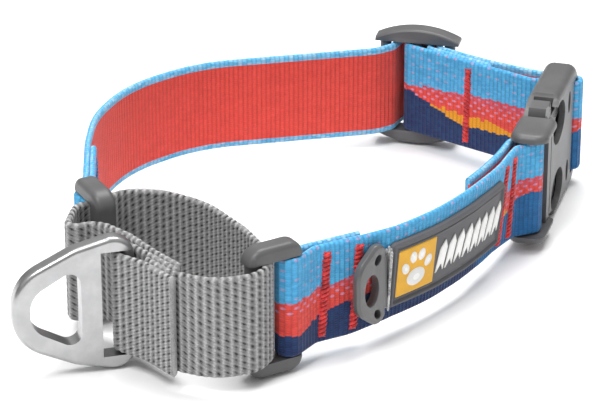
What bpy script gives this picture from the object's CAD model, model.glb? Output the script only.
import math

import bmesh
import bpy
import numpy as np
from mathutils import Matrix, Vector


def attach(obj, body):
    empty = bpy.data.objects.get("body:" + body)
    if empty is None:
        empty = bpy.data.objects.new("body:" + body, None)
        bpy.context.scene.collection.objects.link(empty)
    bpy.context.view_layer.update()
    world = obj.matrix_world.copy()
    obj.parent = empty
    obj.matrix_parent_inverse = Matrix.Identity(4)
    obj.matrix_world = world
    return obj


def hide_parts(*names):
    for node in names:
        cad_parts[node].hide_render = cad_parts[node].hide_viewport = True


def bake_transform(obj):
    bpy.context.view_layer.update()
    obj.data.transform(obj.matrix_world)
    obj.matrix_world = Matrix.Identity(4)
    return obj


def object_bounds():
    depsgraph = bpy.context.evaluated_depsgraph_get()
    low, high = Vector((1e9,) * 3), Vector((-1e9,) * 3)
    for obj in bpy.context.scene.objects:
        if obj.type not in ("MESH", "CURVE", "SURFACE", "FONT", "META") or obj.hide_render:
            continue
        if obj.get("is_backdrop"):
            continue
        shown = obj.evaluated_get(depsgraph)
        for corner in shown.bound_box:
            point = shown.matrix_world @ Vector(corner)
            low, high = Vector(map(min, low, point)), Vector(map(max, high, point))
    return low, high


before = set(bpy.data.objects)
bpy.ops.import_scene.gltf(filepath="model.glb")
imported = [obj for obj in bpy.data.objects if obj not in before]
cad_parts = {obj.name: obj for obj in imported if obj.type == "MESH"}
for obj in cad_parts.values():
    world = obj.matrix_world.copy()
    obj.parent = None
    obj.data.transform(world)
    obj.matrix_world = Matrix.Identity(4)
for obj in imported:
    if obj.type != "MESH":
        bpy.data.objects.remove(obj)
cad_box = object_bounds()

# Straps are worked out in millimetres in plan, like the CAD source, and turned into metres at the end.
MM = 0.001
SHIFT = np.array([-3.86, 16.92])  # from plan to the row frame
MID = 17.0  # height of the webbing's middle line
WEB = 25.0
STEP = 1.8  # from one sewn layer to the next
WRAP = 2.6  # middle of a layer folded round a bar

LEFT_LOOP = (-50.6, -44.6, -62.7)  # x, y and direction of each fitting, as in the CAD
RIGHT_LOOP = (-2.6, -78.4, 211.6)
SLIDER = (31.6, 51.6, -13)
RUN = (31.6, 51.6, -37.3)
BUCKLE_BARS = (62.95, 7.15, 74)
TAB = (-39.6, -76.0, -50)
BAR_U = 20.55  # from the buckle's middle to each of its bars


# ---------------------------------------------------------------- plan geometry
def heading(angle):
    return np.array([math.cos(math.radians(angle)), math.sin(math.radians(angle))])


def beside(place, along, left):
    """Plan point a distance along a place's direction and a distance to its left."""
    d = heading(place[2])
    return tuple(np.array(place[:2]) + along * d + left * np.array([-d[1], d[0]]))


def fold(centre, radius, *facing):
    """Corners of a strap that goes round a bar, from the directions in which its runs face."""
    corners = []
    for a, b in zip(facing, facing[1:]):
        reach = radius / (1 + math.cos(math.radians(a - b)))
        corners.append(tuple(np.array(centre[:2]) + reach * (heading(a) + heading(b))))
    return corners


def row_frame(x, y, z):
    """Plan position in millimetres to the row frame in metres."""
    return ((x + SHIFT[0]) * MM, (y + SHIFT[1]) * MM, z * MM)


class Route:
    """Centre line of a strap in plan, through rounded corners, sampled at an even pitch."""

    def __init__(self, stops, pitch=0.4, soften=0.0):
        corners = [np.array(p, float) for p, r in stops]
        dense = [corners[0]]
        for i in range(1, len(corners) - 1):
            before, after = corners[i] - corners[i - 1], corners[i + 1] - corners[i]
            run = min(np.linalg.norm(before), np.linalg.norm(after))
            before, after = before / np.linalg.norm(before), after / np.linalg.norm(after)
            turn = math.atan2(before[0] * after[1] - before[1] * after[0], before @ after)
            if abs(turn) < 1e-4:
                dense.append(corners[i])
                continue
            reach = min(stops[i][1] * math.tan(abs(turn) / 2), 0.47 * run)
            radius = reach / math.tan(abs(turn) / 2)
            side = math.copysign(1, turn)
            begin = corners[i] - before * reach
            centre = begin + side * radius * np.array([-before[1], before[0]])
            count = max(2, int(abs(turn) / math.radians(4)) + 1)
            for k in range(count + 1):
                c, s = math.cos(turn * k / count), math.sin(turn * k / count)
                arm = begin - centre
                dense.append(centre + np.array([c * arm[0] - s * arm[1], s * arm[0] + c * arm[1]]))
        dense.append(corners[-1])
        dense = np.array(dense)
        walked = np.r_[0, np.cumsum(np.linalg.norm(np.diff(dense, axis=0), axis=1))]
        self.length = walked[-1]
        count = int(self.length / pitch) + 1
        self.along = np.linspace(0, self.length, count)
        self.points = np.stack([np.interp(self.along, walked, dense[:, k]) for k in (0, 1)], 1)
        if soften:
            reach = int(3 * soften / pitch)
            kernel = np.exp(-0.5 * (np.arange(-reach, reach + 1) * pitch / soften) ** 2)
            kernel /= kernel.sum()
            for k in (0, 1):
                line = self.points[:, k]
                head = 2 * line[0] - line[reach:0:-1]
                tail = 2 * line[-1] - line[-2 : -reach - 2 : -1]
                self.points[:, k] = np.convolve(np.r_[head, line, tail], kernel, "valid")
        tangent = np.gradient(self.points, axis=0)
        tangent /= np.linalg.norm(tangent, axis=1)[:, None]
        self.right = np.stack([tangent[:, 1], -tangent[:, 0]], 1)

    def near(self, place, low=0.0, high=None):
        """Distance along the route of its point nearest to a place."""
        gap = np.linalg.norm(self.points - np.array(place[:2]), axis=1)
        out = (self.along < low) | (self.along > (self.length if high is None else high))
        gap[out] = 1e9
        return self.along[gap.argmin()]

    def at(self, along, out=0.0):
        """Plan points at distances along, a distance out to the right."""
        along = np.asarray(along, float)
        p = np.stack([np.interp(along, self.along, self.points[:, k]) for k in (0, 1)], -1)
        n = np.stack([np.interp(along, self.along, self.right[:, k]) for k in (0, 1)], -1)
        return p + n * np.asarray(out, float)[..., None], n


# ---------------------------------------------------------------- meshes
def new_object(name, points, faces, attributes=None):
    mesh = bpy.data.meshes.new(name)
    mesh.from_pydata([tuple(p) for p in points], [], [tuple(f) for f in faces])
    for key, values in (attributes or {}).items():
        layer = mesh.attributes.new(key, "FLOAT", "POINT")
        layer.data.foreach_set("value", np.asarray(values, np.float32))
    mesh.shade_smooth()
    obj = bpy.data.objects.new(name, mesh)
    bpy.context.scene.collection.objects.link(obj)
    return obj


def section(thick, width, rows, edge_rows=4):
    """Outline of a strap's cross-section: out and up from its middle, then out and up of its normal."""
    lines = []
    round_edge = thick / 2
    flat = width / 2 - round_edge
    for k in range(rows + 1):
        lines.append((round_edge, -flat + 2 * flat * k / rows, 1, 0))
    for k in range(1, edge_rows):
        a = math.pi * k / edge_rows
        c, s = math.cos(a), math.sin(a)
        lines.append((round_edge * c, flat + round_edge * s, c, s))
    for k in range(rows + 1):
        lines.append((-round_edge, flat - 2 * flat * k / rows, -1, 0))
    for k in range(1, edge_rows):
        a = math.pi * k / edge_rows
        c, s = math.cos(a), math.sin(a)
        lines.append((-round_edge * c, -flat - round_edge * s, -c, -s))
    return np.array(lines)


def strap(route, start, end, face=1, thick=1.5, rows=44, relief=None, lean=None, caps=(0, 0), phase=0.0):
    """Part of a strap: points, faces, and along, across, side and relief values. Its pattern is on face."""
    keep = route.along[(route.along > start) & (route.along < end)]
    along = np.r_[start, keep, end]
    centre, right = route.at(along)
    lines = section(thick, WEB, rows)
    out, up, side, rise = (lines[:, k][None, :].repeat(len(along), 0) for k in range(4))
    across = up + WEB / 2
    lift = np.zeros_like(out) if relief is None else relief(along[:, None], across)
    fade = 1 - np.abs(rise)
    out = out + lift * np.sign(side) * np.maximum(fade, 0.3)
    up = up + lift * rise
    angle = np.zeros(len(along)) if lean is None else np.radians(lean(along))
    c, s = np.cos(angle)[:, None], np.sin(angle)[:, None]
    out, up = out * c + up * s, up * c - out * s
    xy = centre[:, None, :] + right[:, None, :] * out[..., None]
    points = np.concatenate([xy + SHIFT, (up + MID)[..., None]], 2).reshape(-1, 3) * MM
    n, m = out.shape
    i, k = np.meshgrid(np.arange(n - 1), np.arange(m), indexing="ij")
    a, b = i * m + k, i * m + (k + 1) % m
    faces = np.stack([a, b, b + m, a + m], -1).reshape(-1, 4).tolist()
    if caps[0]:
        faces.append(list(range(m))[::-1])
    if caps[1]:
        faces.append([(n - 1) * m + k for k in range(m)])
    values = {
        "along": along[:, None].repeat(m, 1).ravel() + phase,
        "across": across.ravel(),
        "side": (side * face).ravel(),
        "relief": lift.ravel(),
    }
    return points, faces, values


def joined(name, parts, material):
    """One object from several point, face and value sets."""
    points, faces, values = [], [], {}
    for p, f, v in parts:
        base = sum(len(q) for q in points)
        points.append(p)
        faces += [[i + base for i in one] for one in f]
        for key, array in v.items():
            values.setdefault(key, []).append(array)
    values = {key: np.concatenate(arrays) for key, arrays in values.items()}
    obj = new_object(name, np.concatenate(points), faces, values)
    obj.data.materials.append(material)
    return obj


def tube(points, radii, sides):
    """Round thread through points, with a radius at each: points and faces."""
    line = np.asarray(points, float)
    tangent = np.gradient(line, axis=0)
    tangent /= np.linalg.norm(tangent, axis=1)[:, None]
    guide = np.array([0.3, 0.2, 0.93])  # any direction that no thread follows
    first = np.cross(tangent, guide)
    first /= np.linalg.norm(first, axis=1)[:, None]
    second = np.cross(tangent, first)
    angles = 2 * math.pi * np.arange(sides) / sides
    c, s = np.cos(angles)[None, :, None], np.sin(angles)[None, :, None]
    ring = first[:, None, :] * c + second[:, None, :] * s
    pts = (line[:, None, :] + ring * radii[:, None, None]).reshape(-1, 3)
    faces = []
    for i in range(len(line) - 1):
        for k in range(sides):
            a, b = i * sides + k, i * sides + (k + 1) % sides
            faces.append([a, b, b + sides, a + sides])
    faces.append(list(range(sides))[::-1])
    faces.append([(len(line) - 1) * sides + k for k in range(sides)])
    return pts, faces


# ---------------------------------------------------------------- materials
def srgb(r, g, b):
    """Screen colour, 0 to 255 and not near black, as a linear one."""
    return tuple(((c / 255 + 0.055) / 1.055) ** 2.4 for c in (r, g, b)) + (1,)


class Tree:
    """A material's node tree, with short calls for the nodes used here."""

    def __init__(self, name, roughness=0.6, specular=0.4, metallic=0.0, sheen=0.0, coat=0.0):
        self.material = bpy.data.materials.new(name)
        self.material.use_nodes = True
        self.tree = self.material.node_tree
        self.shader = self.tree.nodes["Principled BSDF"]
        for key, value in (
            ("Roughness", roughness),
            ("Specular IOR Level", specular),
            ("Metallic", metallic),
            ("Sheen Weight", sheen),
            ("Coat Weight", coat),
        ):
            self.shader.inputs[key].default_value = value

    def put(self, value, socket):
        if isinstance(value, bpy.types.NodeSocket):
            self.tree.links.new(value, socket)
        else:
            socket.default_value = value

    def math(self, operation, a, b=0.0, c=0.0):
        node = self.tree.nodes.new("ShaderNodeMath")
        node.operation = operation
        for value, socket in zip((a, b, c), node.inputs):
            self.put(value, socket)
        return node.outputs[0]

    def add(self, a, b):
        return self.math("ADD", a, b)

    def sub(self, a, b):
        return self.math("SUBTRACT", a, b)

    def mul(self, a, b):
        return self.math("MULTIPLY", a, b)

    def wave(self, value, length, phase):
        return self.math("SINE", self.math("MULTIPLY_ADD", value, 2 * math.pi / length, phase))

    def above(self, value, low, high):
        """0 below low, 1 above high, smooth between."""
        node = self.tree.nodes.new("ShaderNodeMapRange")
        node.interpolation_type = "SMOOTHSTEP"
        for value, socket in zip((value, low, high, 0.0, 1.0), node.inputs):
            self.put(value, socket)
        return node.outputs[0]

    def attribute(self, name):
        node = self.tree.nodes.new("ShaderNodeAttribute")
        node.attribute_name = name
        return node.outputs["Fac"]

    def place(self):
        return self.tree.nodes.new("ShaderNodeTexCoord").outputs["Object"]

    def join(self, x, y, z=0.0):
        node = self.tree.nodes.new("ShaderNodeCombineXYZ")
        for value, socket in zip((x, y, z), node.inputs):
            self.put(value, socket)
        return node.outputs[0]

    def white(self, x, y, z=0.0):
        node = self.tree.nodes.new("ShaderNodeTexWhiteNoise")
        self.tree.links.new(self.join(x, y, z), node.inputs["Vector"])
        return node.outputs["Value"]

    def noise(self, vector, scale, detail=3.0, roughness=0.55):
        node = self.tree.nodes.new("ShaderNodeTexNoise")
        self.put(vector, node.inputs["Vector"])
        node.inputs["Scale"].default_value = scale
        node.inputs["Detail"].default_value = detail
        node.inputs["Roughness"].default_value = roughness
        return node.outputs["Fac"]

    def mix(self, factor, a, b, blend="MIX"):
        node = self.tree.nodes.new("ShaderNodeMix")
        node.data_type = "RGBA"
        node.blend_type = blend
        for value, socket in zip((factor, a, b), (node.inputs[0], node.inputs[6], node.inputs[7])):
            self.put(value, socket)
        return node.outputs[2]

    def grey(self, value):
        return self.join(value, value, value)

    def bump(self, height, distance):
        node = self.tree.nodes.new("ShaderNodeBump")
        node.inputs["Distance"].default_value = distance
        self.put(height, node.inputs["Height"])
        self.tree.links.new(node.outputs[0], self.shader.inputs["Normal"])

    def finish(self, color, roughness=None):
        self.put(color, self.shader.inputs["Base Color"])
        if roughness is not None:
            self.put(roughness, self.shader.inputs["Roughness"])
        return self.material


SKY = srgb(84, 174, 222)
SKY_DEEP = srgb(52, 140, 196)
SKY_PALE = srgb(150, 200, 232)
LILAC = srgb(196, 150, 186)
PLUM = srgb(168, 92, 132)
CORAL = srgb(226, 78, 68)
CORAL_DEEP = srgb(186, 42, 46)
GOLD = srgb(222, 150, 28)
NAVY = srgb(24, 42, 86)
NAVY_PALE = srgb(34, 74, 122)
HILL_BLUE = srgb(30, 104, 160)

# The woven picture, in millimetres: heights from the strap's lower edge, waves as length, phase and height
HILL_HEIGHT = 8.6
HILL_WAVES = ((58.0, 0.27, 2.5), (27.0, 1.0, 0.9))
FAR_HILL_WAVE = (118.0, 1.57)
GOLD_WAVE = (97.0, 2.41, 5.4)
GOLD_SHARE = 3.0  # of the gold wave's height that stays under the hills
SKY_HEIGHT = 14.6
SKY_WAVE = (66.0, 1.0, 1.1)
FRONT_PHASE = 475.0  # where in the woven picture the front strap starts
KNOT_RISE = 0.3  # height of the grey webbing's knots
GREY_THICK = 1.26  # of the grey webbing without its knots


def patterned_webbing(name):
    """Ribbed weave: banded sky, coral, gold and hills on one side, coral with sky edges on the other."""
    t = Tree(name, roughness=0.74, specular=0.22, sheen=0.12)
    along, across, side = (t.attribute(k) for k in ("along", "across", "side"))
    rib_pitch, cell_pitch = 1.25, 0.6
    rib_value = t.mul(along, 1 / rib_pitch)
    rib_number = t.math("FLOOR", rib_value)
    in_rib = t.math("FRACT", rib_value)
    stagger = t.mul(t.math("MODULO", rib_number, 2.0), 0.5)
    cell_value = t.math("MULTIPLY_ADD", across, 1 / cell_pitch, stagger)
    cell = t.math("FLOOR", cell_value)
    in_cell = t.math("FRACT", cell_value)
    u = t.mul(t.add(rib_number, 0.5), rib_pitch)
    v = t.mul(t.sub(t.add(cell, 0.5), stagger), cell_pitch)
    luck = t.white(rib_number, cell)
    # Rows of short floats, staggered from row to row
    float_pitch, row_pitch = 2.7, 1.2
    row_value = t.mul(across, 1 / row_pitch)
    row = t.math("FLOOR", row_value)
    float_value = t.math("MULTIPLY_ADD", t.math("MODULO", row, 2.0), 0.5, t.mul(along, 1 / float_pitch))
    float_luck = t.white(t.math("FLOOR", float_value), row, 3.0)
    float_u = t.mul(t.sub(t.math("FRACT", float_value), 0.5), 1 / 0.24)
    float_v = t.mul(t.sub(t.math("FRACT", row_value), 0.5), 1 / 0.28)
    float_far = t.add(t.mul(float_u, float_u), t.mul(float_v, float_v))
    floats = t.mul(t.sub(1.0, t.above(float_far, 0.4, 1.3)), t.math("MULTIPLY_ADD", float_luck, 0.25, 0.75))
    # Heights at which the colours change over
    rolls = [t.mul(t.wave(u, length, phase), height) for length, phase, height in HILL_WAVES]
    hills = t.add(HILL_HEIGHT, t.add(*rolls))
    hills = t.add(hills, t.math("MULTIPLY_ADD", luck, 0.4, -0.2))
    gold_wave = t.wave(u, GOLD_WAVE[0], GOLD_WAVE[1])
    gold_rise = t.math("MAXIMUM", 0.0, t.math("MULTIPLY_ADD", gold_wave, GOLD_WAVE[2], -GOLD_SHARE))
    gold_rise = t.math("MULTIPLY_ADD", luck, t.mul(t.above(gold_rise, 0.0, 0.6), 0.9), gold_rise)
    turn = t.math("MULTIPLY_ADD", t.wave(u, SKY_WAVE[0], SKY_WAVE[1]), SKY_WAVE[2], SKY_HEIGHT)
    turn = t.math("MULTIPLY_ADD", luck, 0.7, turn)
    far_hills = t.above(t.wave(u, *FAR_HILL_WAVE), 0.25, 0.5)
    navy = t.mix(t.mul(luck, 0.4), NAVY, NAVY_PALE)
    low_band = t.mix(far_hills, navy, t.mix(t.mul(luck, 0.5), HILL_BLUE, NAVY_PALE))
    coral = t.mix(t.mul(luck, 0.45), CORAL, CORAL_DEEP)
    sky = t.mix(t.mul(luck, 0.55), SKY, SKY_DEEP)
    every_other_row = t.math("LESS_THAN", t.math("MODULO", row, 2.0), 0.5)
    sparse = t.mul(every_other_row, t.math("GREATER_THAN", float_luck, 0.3))
    sky = t.mix(t.mul(t.mul(floats, sparse), 0.55), sky, LILAC)
    near_turn = t.mul(t.above(across, 10.2, 11.2), t.sub(1.0, t.above(across, 15.6, 16.6)))
    coral = t.mix(t.mul(t.mul(floats, near_turn), 0.85), coral, LILAC)
    blush = t.mul(t.above(across, 12.4, 15.2), 0.3)
    coral = t.mix(blush, coral, PLUM)
    color = t.mix(t.math("GREATER_THAN", v, hills), low_band, GOLD)
    color = t.mix(t.math("GREATER_THAN", v, t.add(hills, gold_rise)), color, coral)
    color = t.mix(t.math("GREATER_THAN", v, turn), color, sky)
    edge = t.math("GREATER_THAN", t.math("ABSOLUTE", t.sub(across, WEB / 2)), 10.8)
    reverse = t.mix(t.mul(luck, 0.4), CORAL, srgb(214, 64, 56))
    reverse = t.mix(edge, reverse, t.mix(luck, SKY, SKY_PALE))
    color = t.mix(t.math("GREATER_THAN", side, 0.0), reverse, color)
    rib = t.math("POWER", t.math("SINE", t.mul(in_rib, math.pi)), 0.5)
    knot = t.math("POWER", t.math("SINE", t.mul(in_cell, math.pi)), 0.5)
    height = t.mul(rib, t.math("MULTIPLY_ADD", knot, 0.4, 0.6))
    fibre = t.noise(t.join(t.mul(along, 1.0), t.mul(across, 3.0), side), 2.2, 4.0)
    patch = t.noise(t.join(t.mul(along, 0.2), t.mul(across, 0.3), side), 1.0, 2.0)
    shade = t.add(t.math("MULTIPLY_ADD", height, 0.3, 0.72), t.math("MULTIPLY_ADD", fibre, 0.7, -0.35))
    shade = t.add(shade, t.math("MULTIPLY_ADD", patch, 0.24, -0.12))
    color = t.mix(1.0, color, t.grey(shade), "MULTIPLY")
    t.bump(t.add(height, t.mul(fibre, 0.5)), 0.00022)
    return t.finish(color)


def grey_webbing(name):
    """Coarse ribbed weave: the ribs and pits are in the mesh, and their shade follows them."""
    t = Tree(name, roughness=0.8, specular=0.2, sheen=0.1)
    along, across, relief, side = (t.attribute(k) for k in ("along", "across", "relief", "side"))
    fibre = t.noise(t.join(t.mul(along, 1.8), t.mul(across, 3.4), side), 2.4, 4.0)
    raised = t.math("MULTIPLY_ADD", fibre, 0.7, t.math("MULTIPLY_ADD", relief, 1 / KNOT_RISE, -0.35))
    color = t.mix(t.above(raised, 0.05, 0.6), srgb(50, 50, 50), srgb(132, 132, 132))
    color = t.mix(t.above(raised, 0.6, 1.0), color, srgb(196, 196, 196))
    patch = t.noise(t.join(t.mul(along, 0.9), t.mul(across, 0.9), side), 1.0, 2.0)
    color = t.mix(1.0, color, t.grey(t.math("MULTIPLY_ADD", patch, 0.6, 0.7)), "MULTIPLY")
    t.bump(fibre, 0.00018)
    return t.finish(color)


def thread(name, color, dark):
    """Twisted satin thread."""
    t = Tree(name, roughness=0.5, specular=0.4, sheen=0.2)
    twist = t.noise(t.place(), 2600.0, 3.0)
    patch = t.noise(t.place(), 500.0, 2.0)
    t.bump(twist, 0.00012)
    return t.finish(t.mix(t.above(t.add(twist, t.sub(patch, 0.5)), 0.3, 0.65), dark, color))


def plastic(name, color, roughness=0.46, grain=0.5, coat=0.0):
    """Moulded nylon: a fine eroded grain, paler where edges are rubbed."""
    t = Tree(name, roughness=roughness, specular=0.45, coat=coat)
    grain_noise = t.noise(t.place(), 2400.0, 3.0)
    patch = t.noise(t.place(), 160.0, 3.0)
    dark = tuple(0.86 * c for c in color[:3]) + (1,)
    pale = tuple(min(1, 1.16 * c + 0.004) for c in color[:3]) + (1,)
    pointy = t.tree.nodes.new("ShaderNodeNewGeometry").outputs["Pointiness"]
    shade = t.mix(t.above(patch, 0.35, 0.7), dark, color)
    shade = t.mix(t.mul(t.above(pointy, 0.515, 0.56), 0.6), shade, pale)
    t.bump(grain_noise, 0.00004 * grain)
    return t.finish(shade, t.math("MULTIPLY_ADD", patch, 0.14, roughness - 0.07))


def metal(name):
    """Satin aluminium with fine tumbling marks."""
    t = Tree(name, roughness=0.3, metallic=1.0)
    scratch = t.noise(t.place(), 900.0, 5.0, 0.65)
    patch = t.noise(t.place(), 220.0, 3.0)
    t.bump(scratch, 0.00001)
    color = t.mix(t.above(patch, 0.3, 0.75), srgb(166, 166, 167), srgb(180, 180, 181))
    return t.finish(color, t.math("MULTIPLY_ADD", scratch, 0.14, 0.24))


webbing_look = patterned_webbing("patterned_webbing_look")
grey_look = grey_webbing("grey_webbing_look")
red_thread = thread("red_thread_look", srgb(220, 54, 54), srgb(158, 22, 30))
blue_thread = thread("blue_thread_look", srgb(30, 116, 178), srgb(14, 70, 120))
grey_thread = thread("grey_thread_look", srgb(196, 196, 196), srgb(120, 120, 120))
plastic_look = plastic("grey_plastic_look", srgb(88, 88, 89), 0.42)
tag_look = plastic("tag_plastic_look", srgb(90, 90, 91), 0.3, 0.3, 0.3)
metal_look = metal("ring_metal_look")
rubber_look = plastic("label_rubber_look", srgb(88, 88, 91), 0.62, 1.0)
panel_look = plastic("panel_yellow_look", srgb(228, 170, 34), 0.55, 0.6)
white_look = plastic("label_white_look", srgb(228, 228, 226), 0.55, 0.6)


# ---------------------------------------------------------------- straps
def knots(along, across):
    """Ribs across the strap with rows of slanted pits between them, staggered from row to row."""
    pitch, rise = 1.92, 1.62
    shape = np.broadcast(along, across).shape
    rib = along / pitch
    ridge = np.cos(2 * np.pi * rib)
    yarns = np.cos(2 * np.pi * (2 * across / rise + 1.2 * rib)) * (1 - 0.4 * ridge)
    height = np.full(shape, 0.66) + 0.16 * ridge
    height = height + 0.12 * yarns
    for step in (-1, 0, 1):
        column = np.floor(rib) + step
        u = rib - column - 0.5
        v = across / rise + 0.5 * (column % 2) + 0.7 * u + 0.2 * np.sin(column * 2.4)
        v = v - np.floor(v) - 0.5
        depth = 0.62 + 0.2 * np.sin(column * 5.1 + 3 * np.floor(across / rise))
        height = height - depth * np.exp(-((u / 0.27) ** 2) - (v / 0.15) ** 2)
    return KNOT_RISE * np.clip(height, 0, 1)


left_bar, slider_bar, right_bar = LEFT_LOOP[:2], SLIDER[:2], RIGHT_LOOP[:2]
run_inner = -WRAP - 0.05
run_tail = run_inner + STEP
run_outer = run_tail + STEP
socket_end = beside(BUCKLE_BARS, BAR_U, -1.8)
back_route = Route(
    [
        ((-50.9, -17), 0),
        ((-50.5, -26), 30),
        ((-50.0, -36), 30),
        (fold(left_bar, WRAP, 12, -99)[0], WRAP),
        (fold(left_bar, WRAP, -99, -189)[0], WRAP),
        ((-51.6, -36), 25),
        ((-52.6, -14), 60),
        ((-52.0, 3), 45),
        ((-44.5, 22), 40),
        ((-27, 37.2), 40),
        ((0, 43), 60),
        ((20.3, 47.4), 12),
        (beside(SLIDER, -6.4, -2.5), 1.6),
        (beside(SLIDER, -4.9, 4.6), 1.6),
        (beside(SLIDER, 5.5, 4.6), 1.5),
        (beside(SLIDER, 5.95, -1.6), 1.4),
        (beside(RUN, 22, run_outer), 30),
        (beside(BUCKLE_BARS, BAR_U + WRAP, 7), 6),
        (fold(socket_end, WRAP, 74, -16)[0], WRAP),
        (fold(socket_end, WRAP, -16, -106)[0], WRAP),
        (beside(BUCKLE_BARS, BAR_U - WRAP, 8.28), 5),
        (fold(slider_bar, WRAP + 0.05, -127.3, -217)[0], WRAP),
        (fold(slider_bar, WRAP + 0.05, -217, -283)[0], WRAP),
        (beside(SLIDER, 3.45, WRAP + 0.05), 1.0),
        (beside(SLIDER, 3.45, -2.4), 1.2),
        (beside(RUN, 24, run_tail), 0),
    ],
    0.4,
    0.35,
)
slider_top = back_route.near(beside(SLIDER, 0, 4.6))
outer_split = back_route.near(beside(RUN, 30, run_outer), slider_top)
socket_turn = back_route.near(beside(BUCKLE_BARS, BAR_U + WRAP, 0))
inner_split = back_route.near(beside(RUN, 30, run_inner), socket_turn)
run_slider_end = row_frame(*beside(RUN, 19.8, 0), MID)
back_long = joined("back_strap_long", [strap(back_route, 0, slider_top, -1, caps=(1, 0))], webbing_look)
back_slider = joined(
    "back_strap_at_slider",
    [
        strap(back_route, slider_top, outer_split, -1),
        strap(back_route, inner_split, back_route.length, -1, caps=(0, 1)),
    ],
    webbing_look,
)
back_socket = joined(
    "back_strap_at_buckle",
    [strap(back_route, outer_split, inner_split, -1)],
    webbing_look,
)
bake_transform(back_long)
row_frame(*beside(RUN, 29.9, 0), MID)
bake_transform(back_slider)
row_frame(*beside(RUN, 30.1, 0), MID)
row_frame(*beside(RUN, 41.5, 0), MID)
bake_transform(back_socket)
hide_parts("back_strap")

front_run = [
    ((3.4, -74.0), 4),
    ((12.0, -69.4), 30),
    ((21.0, -62.8), 60),
    ((31.0, -53.4), 60),
    ((39.3, -42.2), 60),
    ((45.6, -31.8), 60),
    ((50.2, -22.6), 40),
    ((53.2, -17.0), 4),
]
plug_bar = beside(BUCKLE_BARS, -BAR_U, 0)
front_route = Route(
    [
        ((13.6, -66.1), 0),
        ((2.6, -72.2), 5),
        (fold(right_bar, WRAP, 128, 227)[0], WRAP),
        (fold(right_bar, WRAP, 227, 326)[0], WRAP),
        *front_run,
        (fold(plug_bar, WRAP, -67, 23)[0], WRAP),
        (fold(plug_bar, WRAP, 23, 122)[0], WRAP),
        ((51.9, -13.0), 4),
        ((48.5, -21.7), 40),
        ((43.9, -30.8), 60),
        ((40.4, -36.6), 0),
    ],
    0.4,
    0.35,
)
run_start = front_route.near(front_run[0][0], 12)


def front_lean(along):
    """Angle by which the front strap's top edge stands outwards, most along the label."""
    a = along - run_start
    return 6.0 * np.clip((a - 8) / 14, 0, 1) * np.clip((80 - a) / 14, 0, 1)


def tail_lean(along):
    return np.where(along < run_start + 85, front_lean(along), 0)


front_strap = joined(
    "front_strap_look",
    [strap(front_route, 0, front_route.length, 1, lean=tail_lean, caps=(1, 1), phase=FRONT_PHASE)],
    webbing_look,
)
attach(front_strap, "root")
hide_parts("front_strap")

tab_route = Route(
    [
        (beside(TAB, 18.2, 0.95 - STEP), 0),
        (beside(TAB, 7.6, 0.95 - STEP), 12),
        (fold(TAB[:2], 2.8, -126, -222)[0], 2.8),
        (fold(TAB[:2], 2.8, -222, -320)[0], 2.8),
        (beside(TAB, 14.6, 0.95 + STEP), 0),
    ],
    0.24,
    0.3,
)
tab_piece = joined(
    "control_tab_look",
    [strap(tab_route, 0, tab_route.length, 1, thick=GREY_THICK, rows=84, relief=knots, caps=(1, 1))],
    grey_look,
)
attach(tab_piece, "control_tab")
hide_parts("control_tab")

loop_route = Route(
    [
        (beside(TAB, 6.5, 0.95), 0),
        (beside(TAB, 15.4, 0.95), 3),
        ((-19.4, -91.7), 14),
        ((-9.6, -88.4), 8),
        ((-6.6, -82.4), 4),
        ((-7.9, -75.3), 8),
        ((-12.8, -64.4), 40),
        ((-22.0, -50.4), 24),
        ((-32.4, -43.4), 16),
        ((-42.2, -43.2), 6),
        ((-48.4, -49.1), 5),
        ((-53.0, -51.6), 4),
        ((-54.6, -64.2), 2),
        ((-47.4, -60.2), 6),
        ((-39.6, -67.4), 12),
        (beside(TAB, 6, 0.95 + 2 * STEP), 12),
        (beside(TAB, 13.4, 0.95 + 2 * STEP), 0),
    ],
    0.24,
    0.4,
)
right_turn = loop_route.near((-6.6, -82.4))
left_turn = loop_route.near((-53.0, -51.6))
loop_spans = [
    ("loop_front_leg", 0, right_turn, (1, 0)),
    ("loop_back_leg", right_turn, left_turn, (0, 0)),
    ("loop_left_leg", left_turn, loop_route.length, (0, 1)),
]
loop_look = {"thick": GREY_THICK, "rows": 84, "relief": knots}
loop_pieces = [
    joined(name, [strap(loop_route, a, b, 1, caps=caps, **loop_look)], grey_look)
    for name, a, b, caps in loop_spans
]
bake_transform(loop_pieces[0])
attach(loop_pieces[1], "root")
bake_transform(loop_pieces[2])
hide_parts("control_loop")


# ---------------------------------------------------------------- stitching
def zigzag(place, height_low, height_high, wide, pitch, radius, seed, lean=0.0):
    """Dense stitching over a strap: fat slanted stitches over thinner ones that slant the other way."""
    luck = np.random.default_rng(seed)
    parts = []
    for share, fat, reach, slant, rise in ((0.5, 0.5, 1.12, -0.7, 0.0), (1.0, 1.0, 1.0, 0.42, 0.25)):
        count = int((height_high - height_low) / (pitch * share))
        for k in range(count):
            low = height_low + (k + 0.5) * pitch * share
            half = wide / 2 * reach * (1 + luck.uniform(-0.14, 0.14))
            line = []
            for s in np.linspace(-1, 1, 9):
                height = low + slant * pitch * s + luck.uniform(-0.02, 0.02)
                bulge = radius * (0.1 + rise) - (abs(s) ** 3) * radius * (0.7 + rise)
                shift = math.tan(math.radians(lean)) * (height - (height_low + height_high) / 2)
                line.append(place(s * half + shift, height, bulge))
            radii = radius * fat * np.array([0.35, 0.7, 0.92, 1, 1, 1, 0.92, 0.7, 0.35])
            parts.append(tube(line, radii * MM, 8))
    return parts


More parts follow.
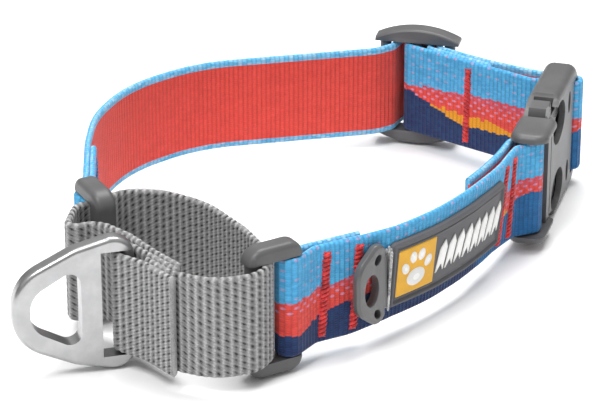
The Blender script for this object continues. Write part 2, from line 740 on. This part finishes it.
def on_strap(route, along, face, surface, lean=None):
    """Place function for stitching at a distance along a strap, on its right (1) or left (-1) face."""

    def place(across, height, out):
        a = along + across
        angle = math.radians(float(lean(np.array([a]))[0])) if lean else 0.0
        o = face * (surface + out)
        up = height - MID
        o, up = o * math.cos(angle) + up * math.sin(angle), up * math.cos(angle) - o * math.sin(angle)
        xy, _ = route.at(np.array([a]), np.array([o]))
        return row_frame(xy[0][0], xy[0][1], up + MID)

    return place


def stitched(name, rows, material, body, node):
    parts = [(p, f, {}) for row in rows for p, f in row]
    obj = joined(name, parts, material)
    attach(obj, body)
    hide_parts(node)
    return obj


def front_tack(along, lean, seed):
    place = on_strap(front_route, run_start + along, 1, 0.75, front_lean)
    return zigzag(place, 6.2, 27.8, 2.3, 1.12, 0.5, seed, lean)


left_tacks = [front_tack(2.2, 4, 1), front_tack(10.6, 4, 2)]
stitched("front_left_tacks", left_tacks, red_thread, "root", "front_left_bartacks")
right_tacks = [front_tack(68.4, 2, 3), front_tack(74.0, 2, 4)]
stitched("front_right_tacks", right_tacks, red_thread, "root", "front_right_bartacks")
tack_along = back_route.near(beside(RUN, 18.5, run_inner), socket_turn)
slider_place = on_strap(back_route, tack_along, -1, 0.75)
slider_rows = [zigzag(slider_place, 6.4, 27.4, 2.1, 1.1, 0.46, 5, -1)]
stitched("slider_tack", slider_rows, red_thread, "slider", "slider_bartack")
tail_rows = [
    zigzag(on_strap(back_route, a, -1, 0.75), 6.4, 27.6, 1.4, 0.9, 0.32, seed)
    for a, seed in ((4, 6), (12, 7))
]
stitched("left_loop_tacks", tail_rows, blue_thread, "root", "left_loop_bartack")
tab_rows = [
    zigzag(on_strap(tab_route, a, 1, 0.8), 5.4, 28.6, 1.0, 1.0, 0.26, seed)
    for a, seed in ((3.4, 8), (8.9, 9))
]
stitched("tab_stitch_rows", tab_rows, grey_thread, "control_tab", "tab_stitching")


# ---------------------------------------------------------------- label
label_start, label_end, label_tall = 19.6, 65.2, 17.6
label_in = 0.85  # from the strap's middle to the label's back
panel_start, panel_end, panel_tall = label_start + 2.0, 34.2, 12.6


def bent(name, points, faces, material):
    """Object from points (along, height, out) laid on the front strap's outer face, with its lean."""
    pts = np.asarray(points, float)
    along = run_start + pts[:, 0]
    angle = np.radians(front_lean(along))
    out, up = label_in + pts[:, 2], pts[:, 1]
    out, up = out * np.cos(angle) + up * np.sin(angle), up * np.cos(angle) - out * np.sin(angle)
    xy, _ = front_route.at(along, out)
    final = np.column_stack([(xy + SHIFT) * MM, (up + MID) * MM])
    obj = new_object(name, final, faces)
    obj.data.materials.append(material)
    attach(obj, "root")
    return obj


def inside_rounded(u, v, half_u, half_v, corner):
    """Distance inside the outline of a rounded rectangle."""
    du, dv = np.abs(u) - (half_u - corner), np.abs(v) - (half_v - corner)
    outside = np.hypot(np.maximum(du, 0), np.maximum(dv, 0)) + np.minimum(np.maximum(du, dv), 0)
    return corner - outside


def plate(start, end, tall, corner, profile, columns, rows):
    """Grid over a rounded rectangle, raised by a profile of the distance from its edge, with side walls."""
    half_u, half_v, middle = (end - start) / 2, tall / 2, (start + end) / 2
    u = half_u * np.linspace(-1, 1, columns)
    near_end = np.maximum(np.abs(u) - (half_u - corner), 0)
    top = half_v - corner + np.sqrt(np.maximum(corner**2 - near_end**2, 0))
    t = np.linspace(-1, 1, rows)
    uu, vv = np.meshgrid(u, t, indexing="ij")
    vv = vv * top[:, None]
    depth = np.maximum(inside_rounded(uu, vv, half_u, half_v, corner), 0)
    out = profile(depth)
    n, m = uu.shape
    points = np.column_stack([(uu + middle).ravel(), vv.ravel(), out.ravel()])
    corners = [i * m + k for i in range(n - 1) for k in range(m - 1)]
    faces = [[a, a + m, a + m + 1, a + 1] for a in corners]
    border = [i * m for i in range(n)] + [(n - 1) * m + k for k in range(1, m)]
    border += [i * m + m - 1 for i in range(n - 2, -1, -1)] + [k for k in range(m - 2, 0, -1)]
    base = len(points)
    floor = points[border] * [1, 1, 0]
    count = len(border)
    for k in range(count):
        a, b = k, (k + 1) % count
        faces.append([border[a], base + a, base + b, border[b]])
    return np.vstack([points, floor]), faces


def rubber_profile(d):
    edge = np.clip(d / 0.35, 0, 1)
    round_edge = np.sqrt(np.clip(1 - (1 - edge) ** 2, 0, 1))
    rim = np.exp(-(((d - 0.95) / 0.42) ** 4)) * 0.55
    groove = -np.exp(-(((d - 1.75) / 0.22) ** 2)) * 0.18
    inner = np.exp(-(((d - 2.2) / 0.2) ** 2)) * 0.12
    return 0.95 * round_edge + rim + groove + inner


label_plate = bent(
    "label_plate",
    *plate(label_start, label_end, label_tall, 1.6, rubber_profile, 300, 110),
    rubber_look,
)
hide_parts("name_label")


def soft_block(thick, edge=0.22):
    return lambda d: 0.9 + thick * np.sqrt(np.clip(1 - (1 - np.clip(d / edge, 0, 1)) ** 2, 0, 1))


panel = bent(
    "label_panel_look",
    *plate(panel_start, panel_end, panel_tall, 0.4, soft_block(0.25), 60, 50),
    panel_look,
)
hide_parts("label_panel")


def blob(centre_u, centre_v, ru, rv, thick, angle=0.0, rings=7, sides=40):
    """Low rounded pad with an elliptical outline."""
    pts, faces = [], []
    c, s = math.cos(math.radians(angle)), math.sin(math.radians(angle))
    for r in range(rings + 1):
        share = math.cos(0.5 * math.pi * r / rings)
        out = 1.1 + thick * min(1.0, 1.6 * math.sin(0.5 * math.pi * r / rings))
        for k in range(sides):
            a = 2 * math.pi * k / sides
            u, v = ru * share * math.cos(a), rv * share * math.sin(a)
            pts.append((centre_u + c * u - s * v, centre_v + s * u + c * v, out))
    for r in range(rings):
        for k in range(sides):
            a, b = r * sides + k, r * sides + (k + 1) % sides
            faces.append([a, b, b + sides, a + sides])
    return np.array(pts), faces


def merged(parts):
    points, faces, base = [], [], 0
    for p, f in parts:
        points.append(p)
        faces += [[i + base for i in one] for one in f]
        base += len(p)
    return np.vstack(points), faces


paw_u = (panel_start + panel_end) / 2
paw = [blob(paw_u, -2.3, 3.0, 2.35, 0.3)]
for u, v, tilt in ((-3.7, 0.9, 24), (-1.35, 3.3, 8), (1.35, 3.3, -8), (3.7, 0.9, -24)):
    paw.append(blob(paw_u + u, v, 1.12, 1.6, 0.3, tilt))
emblem = bent("label_paw", *merged(paw), white_look)
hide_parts("label_emblem")


def chevron(middle, tall=8.2, wide=2.7, thick=0.32, slant=0.2):
    """One plain chevron with a bevelled top."""
    point = 2.2
    outline = [(-wide / 2, -tall / 2), (0, -tall / 2 + point), (wide / 2, -tall / 2)]
    outline += [(wide / 2, tall / 2 - point), (0, tall / 2), (-wide / 2, tall / 2 - point)]
    pts = []
    for shrink, out in ((1.0, 1.0), (1.0, 1.0 + thick * 0.6), (0.9, 1.0 + thick)):
        for u, v in outline:
            pts.append((middle + u * shrink + slant * v, v * (1 - (1 - shrink) * 0.5), out))
    faces = []
    for r in range(2):
        for k in range(6):
            a, b = r * 6 + k, r * 6 + (k + 1) % 6
            faces.append([a, b, b + 6, a + 6])
    faces += [[12, 13, 16, 17], [13, 14, 15, 16]]
    return np.array(pts), faces


marks = bent("label_chevrons", *merged([chevron(36.9 + 3.62 * k) for k in range(8)]), white_look)
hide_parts("label_marks")


# ---------------------------------------------------------------- moulded and metal parts
SHARP = 26.0  # angle in degrees above which an edge is rounded


def refined(node, width, material, body):
    """Copy of a CAD node with its sharp edges rounded, standing for that node."""
    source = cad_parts[node]
    bm = bmesh.new()
    bm.from_mesh(source.data)
    bmesh.ops.remove_doubles(bm, verts=bm.verts, dist=2e-6)
    bmesh.ops.dissolve_limit(bm, angle_limit=math.radians(0.6), verts=bm.verts, edges=bm.edges)
    sharp = [e for e in bm.edges if e.is_manifold and e.calc_face_angle(0) > math.radians(SHARP)]
    bmesh.ops.bevel(
        bm,
        geom=sharp,
        offset=width * MM,
        segments=3,
        profile=0.5,
        affect="EDGES",
        clamp_overlap=True,
    )
    bmesh.ops.triangulate(bm, faces=[f for f in bm.faces if len(f.verts) > 4])
    bm.verts.index_update()
    points = [tuple(v.co) for v in bm.verts]
    faces = [[v.index for v in f.verts] for f in bm.faces]
    bm.free()
    obj = new_object(node + "_look", points, faces)
    obj.data.materials.append(material)
    weighted = obj.modifiers.new("weighted", "WEIGHTED_NORMAL")
    weighted.keep_sharp = True
    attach(obj, body)
    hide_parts(node)
    return obj


refined("leash_ring", 0.35, metal_look, "leash_ring")
refined("left_loop", 0.5, plastic_look, "left_loop")
refined("right_loop", 0.5, plastic_look, "right_loop")
refined("slider", 0.5, plastic_look, "slider")
refined("buckle_plug", 0.6, plastic_look, "root")
refined("buckle_prong_top", 0.6, plastic_look, "prong_top")
refined("buckle_prong_bottom", 0.6, plastic_look, "prong_bottom")
refined("buckle_socket", 0.6, plastic_look, "buckle_socket")
refined("tag_ring", 0.5, tag_look, "tag_ring")

# The tag ring's tape: cords side by side that bend round the ring's bar and end beside the label
tape_bar = (17.2, 1.45)  # along the strap and out from its face
tape_wrap = 1.6  # radius of the cords' arc round the bar
cord_r, cord_steps = 0.31, 40
cords = [
    (tape_bar[0] + tape_wrap * math.cos(a), tape_bar[1] + tape_wrap * math.sin(a))
    for a in np.radians((54, 31, 8, -15, -38))
]
cords += [(19.1, 0.5), (19.55, 0.35)]
cord_radii = cord_r * np.r_[0.6, np.ones(cord_steps - 2), 0.6]
tape_parts = []
for k, (a, out) in enumerate(cords):
    heights = np.linspace(-7.6 - 0.2 * (k % 2), 7.4 + 0.5 * (k % 3), cord_steps)
    line = np.column_stack([np.full(cord_steps, a), heights, out + 0.03 * np.sin(heights * 5 + k)])
    tape_parts.append(tube(line, cord_radii, 8))
tape = bent("tag_tape_look", *merged(tape_parts), grey_thread)
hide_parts("tag_tape")


# ---------------------------------------------------------------- floor, light and camera
def area_light(name, place, size, power):
    """Soft rectangular light aimed at the origin."""
    light = bpy.data.lights.new(name, "AREA")
    light.shape = "RECTANGLE"
    light.size, light.size_y = size
    light.energy = power
    obj = bpy.data.objects.new(name, light)
    obj.location = place
    obj.rotation_euler = (-Vector(place)).to_track_quat("-Z", "Y").to_euler()
    bpy.context.scene.collection.objects.link(obj)


floor_size = 6.0
corners = [(x, y, -0.0001) for x, y in ((-1, -1), (1, -1), (1, 1), (-1, 1))]
floor = new_object("floor", [(x * floor_size, y * floor_size, z) for x, y, z in corners], [[0, 1, 2, 3]])
floor_tree = Tree("floor_look", roughness=0.9, specular=0.1)
floor.data.materials.append(floor_tree.finish((0.93, 0.93, 0.93, 1)))
floor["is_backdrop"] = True

world = bpy.data.worlds.new("studio")
world.use_nodes = True
sky_nodes = world.node_tree
direction = sky_nodes.nodes.new("ShaderNodeTexCoord")
split = sky_nodes.nodes.new("ShaderNodeSeparateXYZ")
ramp = sky_nodes.nodes.new("ShaderNodeValToRGB")
sky_nodes.links.new(direction.outputs["Generated"], split.inputs[0])
sky_nodes.links.new(split.outputs[2], ramp.inputs[0])
background = sky_nodes.nodes["Background"]
sky_nodes.links.new(ramp.outputs[0], background.inputs["Color"])
background.inputs["Strength"].default_value = 0.62
horizon, zenith = ramp.color_ramp.elements
horizon.position, horizon.color = 0.0, (0.16, 0.16, 0.16, 1)
zenith.position, zenith.color = 0.45, (1, 1, 1, 1)
bpy.context.scene.world = world
area_light("key", (-0.35, -0.45, 0.9), (0.4, 0.4), 6.5)
area_light("top", (0.1, 0.2, 0.9), (0.6, 0.5), 8)
bpy.context.scene.view_settings.view_transform = "Standard"

camera_data = bpy.data.cameras.new("camera")
camera_data.sensor_width = 36.0
camera_data.lens = 176.04
camera_data.clip_end = 20
aim_height = 4.5
camera = bpy.data.objects.new("camera", camera_data)
target = Vector(row_frame(0, 0, aim_height))
camera.location = row_frame(0, -678.8, 316.5 + aim_height)
camera.rotation_euler = (target - camera.location).to_track_quat("-Z", "Y").to_euler()
bpy.context.scene.collection.objects.link(camera)
bpy.context.scene.camera = camera

boxes = {"cad": cad_box, "visual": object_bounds()}
{k: [[float(c) for c in corner] for corner in b] for k, b in boxes.items()}
